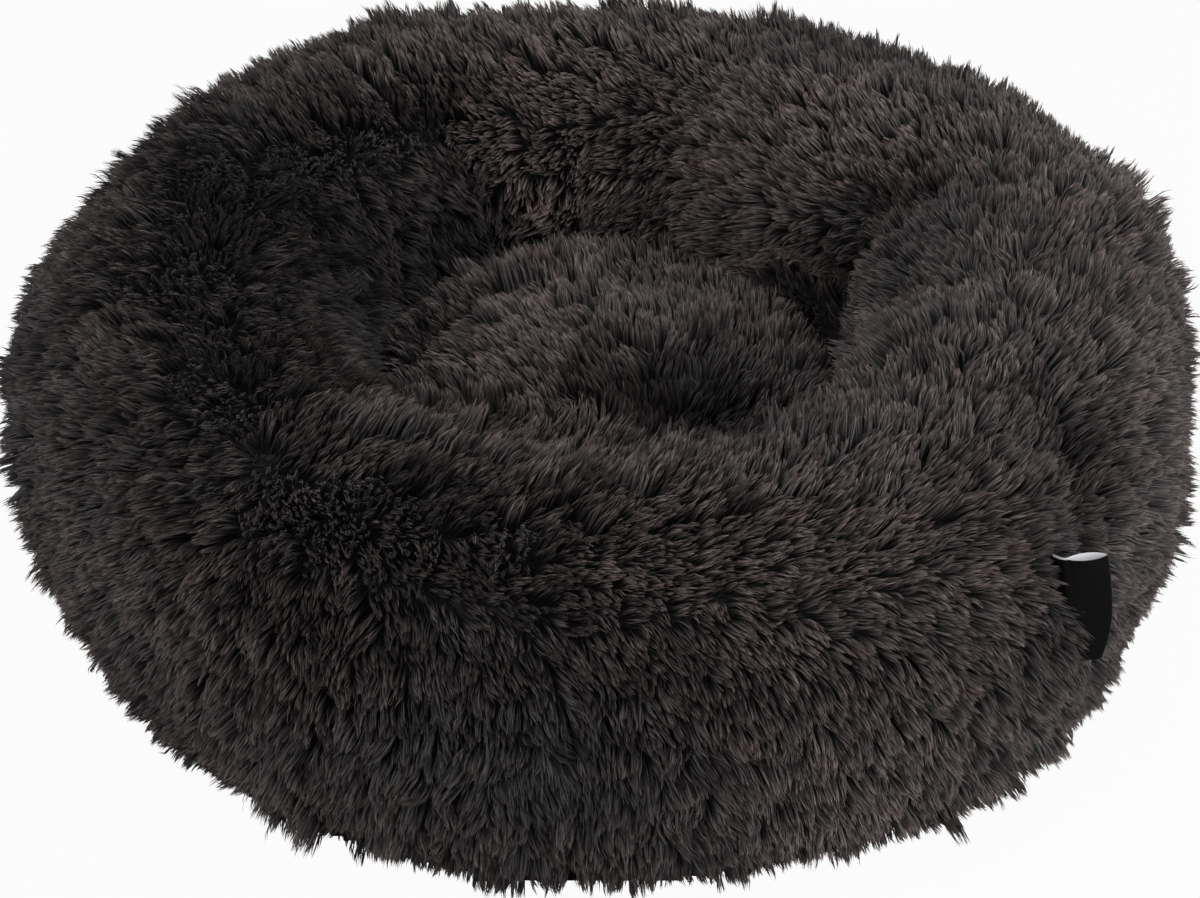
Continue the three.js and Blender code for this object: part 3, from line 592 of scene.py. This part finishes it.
def strand_surface(tree):
    uv = node(tree, "ShaderNodeUVMap", {"uv_map": "OFBake"})
    axes = node(tree, "ShaderNodeSeparateXYZ", Vector=uv.outputs["UV"])
    # Painted shade: each strand darkens from tip to root, where the strands shade one another
    height = node(tree, "ShaderNodeValToRGB", Fac=axes.outputs["Y"])
    set_ramp(height, ((0.0, "0a0909"), (0.4, "1f1c1b"), (0.72, "57504f"), (1.0, "a39794")))
    shade = node(tree, "ShaderNodeValToRGB", Fac=axes.outputs["X"])
    greys = []
    for number in range(SHADES):
        tones = tuple(round(255 * tone * SHADE_STEP ** number) for tone in TINT)
        greys.append((number / SHADES, "%02x%02x%02x" % tones))
    set_ramp(shade, greys, "CONSTANT")
    both = node(
        tree, "ShaderNodeMix", {"data_type": "RGBA", "blend_type": "MULTIPLY"},
        _0=1.0, _6=height.outputs["Color"], _7=shade.outputs["Color"],
    )
    return node(
        tree, "ShaderNodeBsdfPrincipled", Base_Color=both.outputs[2], Roughness=0.5, Sheen_Weight=0.1,
    )


# Heat-set polyester fibre: drawn smooth, so each strand has a soft gleam along it; painted shade along
# each strand: dark at the root, where the strands shade one another, and paler towards the tip
plush_pile = new_material("heat_set_polyester_pile", strand_surface)
RISE, RUN = 13.5 * MM, 9.5 * MM
STRAND_WIDTH = 0.57 * MM
RING_STRANDS = 515000
CUSHION_STRANDS = 60000


def hang_outside(points, normals):
    """Down the outside of the ring, and a little round it."""
    flat = points - np.array(ring_centre)
    flat[:, 2] = 0
    out = flat / np.linalg.norm(flat, axis=1)[:, None]
    down = np.array([0.0, 0.0, -1.0])
    round_bed = np.cross(np.array([0.0, 0.0, 1.0]), out)
    return 0.6 * out * (points[:, 2:3] > 0.1) + down + 0.25 * round_bed


def ring_shows(points, normals):
    away = np.linalg.norm(points[:, :2] - np.array(ring_centre)[:2], axis=1)
    hidden = ((normals[:, 2] < -0.8) & (points[:, 2] < 0.03)) | ((away < 0.16) & (points[:, 2] < 0.07))
    return (~hidden).astype(float)


def cushion_shows(points, normals):
    return (points[:, 2] > 0.06).astype(float)


def hang_from_whorl(points, normals):
    flat = points - np.array([0.0255, -0.05, 0.1])
    flat[:, 2] = 0
    return flat / np.maximum(np.linalg.norm(flat, axis=1), 1e-9)[:, None]


RING_PARTS, CUSHION_PARTS = 12, 2
RING_SEED, CUSHION_SEED = 11, 23
grow_pile(
    "ring_pile", ring, stroke_sets[0], painted_shade_sets[0], hang_outside, ring_shows, RING_STRANDS, RING_PARTS,
    RING_SEED,
)
grow_pile(
    "cushion_pile", cushion, stroke_sets[1], painted_shade_sets[1], hang_from_whorl, cushion_shows, CUSHION_STRANDS,
    CUSHION_PARTS, CUSHION_SEED,
)

# Bags and fibre. Each cover holds a bag of thin spunbonded cloth, stuffed with loose polyester fibre. They
# follow the covers' swells and folds from inside, and none of them shows while the bed is closed.
def spunbond(tree):
    """Thin white web whose fibres are pressed together in a grid of small points."""
    place = node(tree, "ShaderNodeTexCoord")
    points = node(tree, "ShaderNodeTexVoronoi", {"distance": "CHEBYCHEV"}, Scale=900.0, Randomness=0.1)
    tree.links.new(place.outputs["Object"], points.inputs["Vector"])
    ramp = node(tree, "ShaderNodeValToRGB", Fac=points.outputs["Distance"])
    set_ramp(ramp, ((0.0, "c9c7c3"), (0.4, "dedcd8"), (1.0, "e6e4e0")))
    bump = node(tree, "ShaderNodeBump", Strength=0.3, Distance=0.0002, Height=points.outputs["Distance"])
    return node(
        tree, "ShaderNodeBsdfPrincipled", Base_Color=ramp.outputs["Color"], Roughness=0.75,
        Normal=bump.outputs["Normal"],
    )


def carded_fibre(tree):
    """Loose fibre: white tangles, with painted grey shade in the hollows of their bump."""
    place = node(tree, "ShaderNodeTexCoord")
    tangle = node(tree, "ShaderNodeTexNoise", Scale=90.0, Detail=6.0, Distortion=1.5)
    tree.links.new(place.outputs["Object"], tangle.inputs["Vector"])
    # Painted shade: greyer where the bump is low, in the hollows
    ramp = node(tree, "ShaderNodeValToRGB", Fac=tangle.outputs["Fac"])
    set_ramp(ramp, ((0.3, "cfcecb"), (0.7, "f3f2ef")))
    bump = node(tree, "ShaderNodeBump", Strength=0.6, Distance=0.002, Height=tangle.outputs["Fac"])
    return node(
        tree, "ShaderNodeBsdfPrincipled", Base_Color=ramp.outputs["Color"], Roughness=0.95,
        Sheen_Weight=0.3, Normal=bump.outputs["Normal"],
    )


# Spunbonded polypropylene: matt and even, with a fine pressed grid that keeps it from looking like paper
bag_cloth = new_material("spunbonded_polypropylene", spunbond)
# Carded polyester fibre: bright and soft, with no edge or gleam
loose_fibre = new_material("carded_polyester_fibre", carded_fibre)
SKIN = 0.3 * MM
for name, cad, cloth, slot in (
    ("ring_bag", "bolster_bag", bag_cloth, "bag_cloth"),
    ("ring_fibre", "bolster_filling", loose_fibre, "fibre_filling"),
    ("cushion_bag_soft", "cushion_bag", bag_cloth, "bag_cloth"),
    ("cushion_fibre", "cushion_filling", loose_fibre, "fibre_filling"),
):
    low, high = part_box(cad)
    middle, size = (low + high) / 2, high - low
    if cad.startswith("bolster"):
        bpy.ops.mesh.primitive_torus_add(
            major_segments=140, minor_segments=48, major_radius=RING_RADIUS - 4 * MM, minor_radius=TUBE_RADIUS,
            location=(middle.x, middle.y, TUBE_HEIGHT),
        )
    else:
        bpy.ops.mesh.primitive_uv_sphere_add(segments=72, ring_count=48, radius=0.5)
        bpy.context.object.scale = (size.x * 1.04, size.y * 1.04, size.z * 1.1)
        bpy.context.object.location = middle
    inner = bpy.context.object
    inner.name = name
    bpy.ops.object.transform_apply(location=True, rotation=True, scale=True)
    draw_on(inner, cad, SKIN)
    press_folds(inner, ring_folds if cad.startswith("bolster") else cushion_folds)
    inner.data.materials.append(cloth)
    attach(inner, "bed")
    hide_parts(cad)

# Base cloth. It is a round of woven cloth with rubber grip dots underneath, and its hem climbs to the zip
# on all sides of the zip's slot, a little vaulted, which leaves the pull its room. A grid is laid on to the
# frame's base from below and cut where it misses.
BASE_THICKNESS, BASE_GRID = 1.0 * MM, 170
HEM_HEIGHT, HEM_VAULT = 5.9 * MM, 0.6 * MM
low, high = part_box("base_cloth")
base_middle = (low + high) / 2
bpy.ops.mesh.primitive_grid_add(
    x_subdivisions=BASE_GRID, y_subdivisions=BASE_GRID, size=high.x - low.x,
    location=(base_middle.x, base_middle.y, 0),
)
base = bpy.context.object
base.name = "base_cloth_woven"
bpy.ops.object.transform_apply(location=True, rotation=True, scale=True)
base_tree = tree_of(nodes["base_cloth"])
shape = bmesh.new()
shape.from_mesh(base.data)
missed = []
for corner in shape.verts:
    place, _, _, _ = base_tree.ray_cast(Vector((corner.co.x, corner.co.y, -0.02)), Vector((0, 0, 1)))
    if place is None:
        missed.append(corner)
    else:
        climbed = min(max(place.z / HEM_HEIGHT, 0), 1)
        corner.co.z = place.z + HEM_VAULT * 4 * climbed * (1 - climbed)
bmesh.ops.delete(shape, geom=missed, context="VERTS")
shape.to_mesh(base.data)
shape.free()
modify(base, "SOLIDIFY", thickness=BASE_THICKNESS, offset=1.0)
bpy.ops.object.shade_flat()


def grip_weave(tree):
    """Plain weave with round rubber dots on a grid of 8 mm."""
    place = node(tree, "ShaderNodeTexCoord")
    dots = node(tree, "ShaderNodeTexVoronoi", Scale=125.0, Randomness=0.0)
    weft = node(tree, "ShaderNodeTexWave", {"bands_direction": "X"}, Scale=700.0)
    warp = node(tree, "ShaderNodeTexWave", {"bands_direction": "Y"}, Scale=700.0)
    for texture in (dots, weft, warp):
        tree.links.new(place.outputs["Object"], texture.inputs["Vector"])
    weave = node(
        tree, "ShaderNodeMath", {"operation": "MULTIPLY"}, _0=weft.outputs["Fac"], _1=warp.outputs["Fac"],
    )
    ramp = node(tree, "ShaderNodeValToRGB", Fac=weave.outputs[0])
    set_ramp(ramp, ((0.0, "161617"), (1.0, "252527")))
    dot = node(tree, "ShaderNodeMapRange", {"clamp": True}, Value=dots.outputs["Distance"],
               From_Min=0.26, From_Max=0.3, To_Min=1.0, To_Max=0.0)
    rubber = node(
        tree, "ShaderNodeMix", {"data_type": "RGBA"}, _0=dot.outputs[0], _6=ramp.outputs["Color"],
        _7=linear("0d0d0e"),
    )
    gloss = node(tree, "ShaderNodeMapRange", Value=dot.outputs[0], To_Min=0.85, To_Max=0.45)
    bump = node(tree, "ShaderNodeBump", Strength=0.5, Distance=0.0006, Height=dot.outputs[0])
    return node(
        tree, "ShaderNodeBsdfPrincipled", Base_Color=rubber.outputs[2], Roughness=gloss.outputs[0],
        Normal=bump.outputs["Normal"],
    )


# Woven polyester with vinyl dots: a dry dark weave, and rows of dots with a little gleam
grip_cloth = new_material("woven_polyester_with_vinyl_dots", grip_weave)
base.data.materials.append(grip_cloth)
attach(base, "bed")
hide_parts("base_cloth")

# Label. A strip of black satin, folded in half and sewn into the ring's seam by both ends. It stands out,
# turned towards the front, and its upper end gapes, so that the pale reverse shows. It bears nothing.
LABEL_HEIGHT, LABEL_REACH, LABEL_ROOT = 57 * MM, 18 * MM, 5 * MM
LABEL_BEND, LABEL_GAP, LABEL_PLY = 4 * MM, 1.1 * MM, 0.45 * MM
LABEL_PLACE = Vector((215.4, -202.2, 112.8)) * MM
label_angle, label_tilt, label_turn = math.radians(316.5), math.radians(6.3), math.radians(48)
label_out = Vector((
    math.cos(label_angle) * math.cos(label_tilt), math.sin(label_angle) * math.cos(label_tilt),
    math.sin(label_tilt),
))
label_side = Vector((-math.sin(label_angle), math.cos(label_angle), 0))
label_up = label_out.cross(label_side)
bpy.ops.mesh.primitive_grid_add(x_subdivisions=64, y_subdivisions=30, size=1)
label = bpy.context.object
label.name = "label_loop"


def label_middle(share):
    """Where the strip's middle line lies at a share of its way out, and the way that it faces there."""
    arc = LABEL_BEND * label_turn
    run = share * (LABEL_ROOT + arc + LABEL_REACH) - LABEL_ROOT
    turn = min(max(run / LABEL_BEND, 0), label_turn)
    out = min(run, 0) + LABEL_BEND * math.sin(turn) + max(run - arc, 0) * math.cos(label_turn)
    side = LABEL_BEND * (1 - math.cos(turn)) + max(run - arc, 0) * math.sin(label_turn)
    return out, side, turn


for corner in label.data.vertices:
    across, height = corner.co.x * 2, corner.co.y
    ply = -1 if across < 0 else 1
    share = min((1 - abs(across)) / 0.94, 1)
    opened = max(height * 2, 0) ** 2 * math.sin(math.pi * max(share - 0.35, 0) / 0.65) ** 0.7
    gape = LABEL_GAP * (1 + 2.2 * opened)
    out, side, turn = label_middle(share * (1 - 0.14 * max(-height * 2, 0) ** 2))
    bend = max((0.06 - abs(across)) / 0.06, 0) * math.pi / 2
    out += gape * (math.cos(turn) * math.sin(bend) - ply * math.sin(turn) * math.cos(bend))
    side += gape * (math.sin(turn) * math.sin(bend) + ply * math.cos(turn) * math.cos(bend))
    lift = height * LABEL_HEIGHT
    bow = 1.2 * MM * math.sin(3 * height + 1.5) * share ** 2
    out -= lift ** 2 / (2 * 300 * MM)
    corner.co = LABEL_PLACE + label_out * out + label_side * (side + bow) + label_up * lift


def satin(face, back, gloss):
    """Satin weave in one colour, with fine ribs along the warp."""
    def surface(tree):
        place = node(tree, "ShaderNodeTexCoord")
        ribs = node(tree, "ShaderNodeTexWave", {"bands_direction": "Z"}, Scale=900.0, Distortion=0.6, Detail=1.0)
        tree.links.new(place.outputs["Object"], ribs.inputs["Vector"])
        ramp = node(tree, "ShaderNodeValToRGB", Fac=ribs.outputs["Fac"])
        set_ramp(ramp, ((0.0, back), (1.0, face)))
        bump = node(tree, "ShaderNodeBump", Strength=0.15, Distance=0.0001, Height=ribs.outputs["Fac"])
        return node(
            tree, "ShaderNodeBsdfPrincipled", Base_Color=ramp.outputs["Color"], Roughness=gloss,
            Specular_IOR_Level=0.08, Normal=bump.outputs["Normal"],
        )
    return surface


# Black polyester satin: deep black, with a soft gleam where it bends; its reverse is pale grey and matt
label.data.materials.append(new_material("black_polyester_satin", satin("0d0d0e", "070708", 0.34)))
label.data.materials.append(new_material("pale_satin_reverse", satin("e2e2e4", "cfcfd2", 0.7)))
modify(label, "SOLIDIFY", thickness=LABEL_PLY, offset=0.0, material_offset=1, material_offset_rim=0)
modify(label, "BEVEL", width=0.12 * MM, segments=2, limit_method="ANGLE")
bpy.ops.object.shade_smooth()
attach(label, "bed")
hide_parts("woven_label")

# Zip. Its tapes, toothed coils, end stop, slider and pull keep the frame's own shapes; here they get the
# cloth, nylon and metal that they are made of.
def tape_weave(tree):
    """Herringbone tape, black."""
    place = node(tree, "ShaderNodeTexCoord")
    ribs = node(tree, "ShaderNodeTexWave", {"bands_direction": "DIAGONAL"}, Scale=420.0)
    tree.links.new(place.outputs["Object"], ribs.inputs["Vector"])
    ramp = node(tree, "ShaderNodeValToRGB", Fac=ribs.outputs["Fac"])
    set_ramp(ramp, ((0.0, "101011"), (1.0, "202022")))
    bump = node(tree, "ShaderNodeBump", Strength=0.3, Distance=0.0002, Height=ribs.outputs["Fac"])
    return node(
        tree, "ShaderNodeBsdfPrincipled", Base_Color=ramp.outputs["Color"], Roughness=0.85,
        Normal=bump.outputs["Normal"],
    )


def moulded_nylon(tree):
    """Black nylon with faint flow marks."""
    place = node(tree, "ShaderNodeTexCoord")
    marks = node(tree, "ShaderNodeTexNoise", Scale=300.0, Detail=2.0)
    tree.links.new(place.outputs["Object"], marks.inputs["Vector"])
    ramp = node(tree, "ShaderNodeValToRGB", Fac=marks.outputs["Fac"])
    set_ramp(ramp, ((0.3, "131314"), (0.7, "1c1c1e")))
    return node(tree, "ShaderNodeBsdfPrincipled", Base_Color=ramp.outputs["Color"], Roughness=0.38)


def cast_zinc(tree):
    """Dull nickel on cast zinc, rubbed brighter in places."""
    place = node(tree, "ShaderNodeTexCoord")
    wear = node(tree, "ShaderNodeTexNoise", Scale=180.0, Detail=4.0)
    tree.links.new(place.outputs["Object"], wear.inputs["Vector"])
    ramp = node(tree, "ShaderNodeValToRGB", Fac=wear.outputs["Fac"])
    set_ramp(ramp, ((0.35, "7b7d80"), (0.7, "9a9c9f")))
    gloss = node(tree, "ShaderNodeMapRange", Value=wear.outputs["Fac"], To_Min=0.42, To_Max=0.26)
    return node(
        tree, "ShaderNodeBsdfPrincipled", Base_Color=ramp.outputs["Color"], Roughness=gloss.outputs[0],
        Metallic=1.0,
    )


# Woven polyester tape: dry and black, with fine slanted ribs
woven_tape = new_material("woven_polyester_tape", tape_weave)
# Moulded nylon: black with a soft shine on the teeth's edges
black_nylon = new_material("moulded_black_nylon", moulded_nylon)
# Nickel-plated cast zinc: grey, dull, brighter where hands rub it
plated_zinc = new_material("nickel_plated_cast_zinc", cast_zinc)
for names, look in (
    (("zip_tape_front", "zip_tape_back"), woven_tape),
    (("zip_teeth_front", "zip_teeth_back"), black_nylon),
    (("zip_end_stop", "zip_slider", "zip_pull"), plated_zinc),
):
    for name in names:
        nodes[name].data.materials.clear()
        nodes[name].data.materials.append(look)

# Floor and light. A pale seamless sweep under soft, even studio light, a little stronger from the right.
bpy.ops.mesh.primitive_plane_add(size=12, location=(0, 0, 0))
floor = bpy.context.object
floor.name = "floor"


def paper(tree):
    """Matt white paper that shows white to the camera, with the bed's soft shadow on it."""
    lit = node(tree, "ShaderNodeBsdfDiffuse", Color=linear("a0a0a0"))
    white = node(tree, "ShaderNodeEmission", Color=linear("ffffff"), Strength=1.0)
    path = node(tree, "ShaderNodeLightPath")
    seen = node(tree, "ShaderNodeMath", {"operation": "MULTIPLY"}, _0=path.outputs["Is Camera Ray"], _1=0.96)
    return node(tree, "ShaderNodeMixShader", Fac=seen.outputs[0], _1=lit.outputs[0], _2=white.outputs[0])


floor.data.materials.append(new_material("matt_white_paper", paper))

world = bpy.data.worlds.new("studio")
bpy.context.scene.world = world
world.use_nodes = True
sky = world.node_tree
sky.nodes.clear()
path = node(sky, "ShaderNodeLightPath")
strength = node(sky, "ShaderNodeMapRange", Value=path.outputs["Is Camera Ray"], To_Min=0.33, To_Max=1.0)
background = node(sky, "ShaderNodeBackground", Color=linear("ffffff"), Strength=strength.outputs[0])
node(sky, "ShaderNodeOutputWorld", Surface=background.outputs[0])


def softbox(name, azimuth, height, distance, size, power):
    """A square studio lamp that faces the bed from a direction, in degrees, and a distance."""
    lamp = bpy.data.lights.new(name, "AREA")
    lamp.size = size
    lamp.energy = power
    made = bpy.data.objects.new(name, lamp)
    bpy.context.scene.collection.objects.link(made)
    side, lift = math.radians(azimuth), math.radians(height)
    away = Vector((math.cos(side) * math.cos(lift), math.sin(side) * math.cos(lift), math.sin(lift)))
    made.location = away * distance
    made.rotation_mode = "QUATERNION"
    made.rotation_quaternion = (Vector((0, 0, 0.08)) - made.location).to_track_quat("-Z", "Y")


softbox("softbox_right", 8, 48, 0.95, 0.45, 2.7)
softbox("softbox_front_right", 308, 26, 0.95, 0.45, 2.9)
softbox("softbox_left", 215, 42, 2.5, 1.2, 20)
bpy.context.scene.view_settings.view_transform = "Standard"
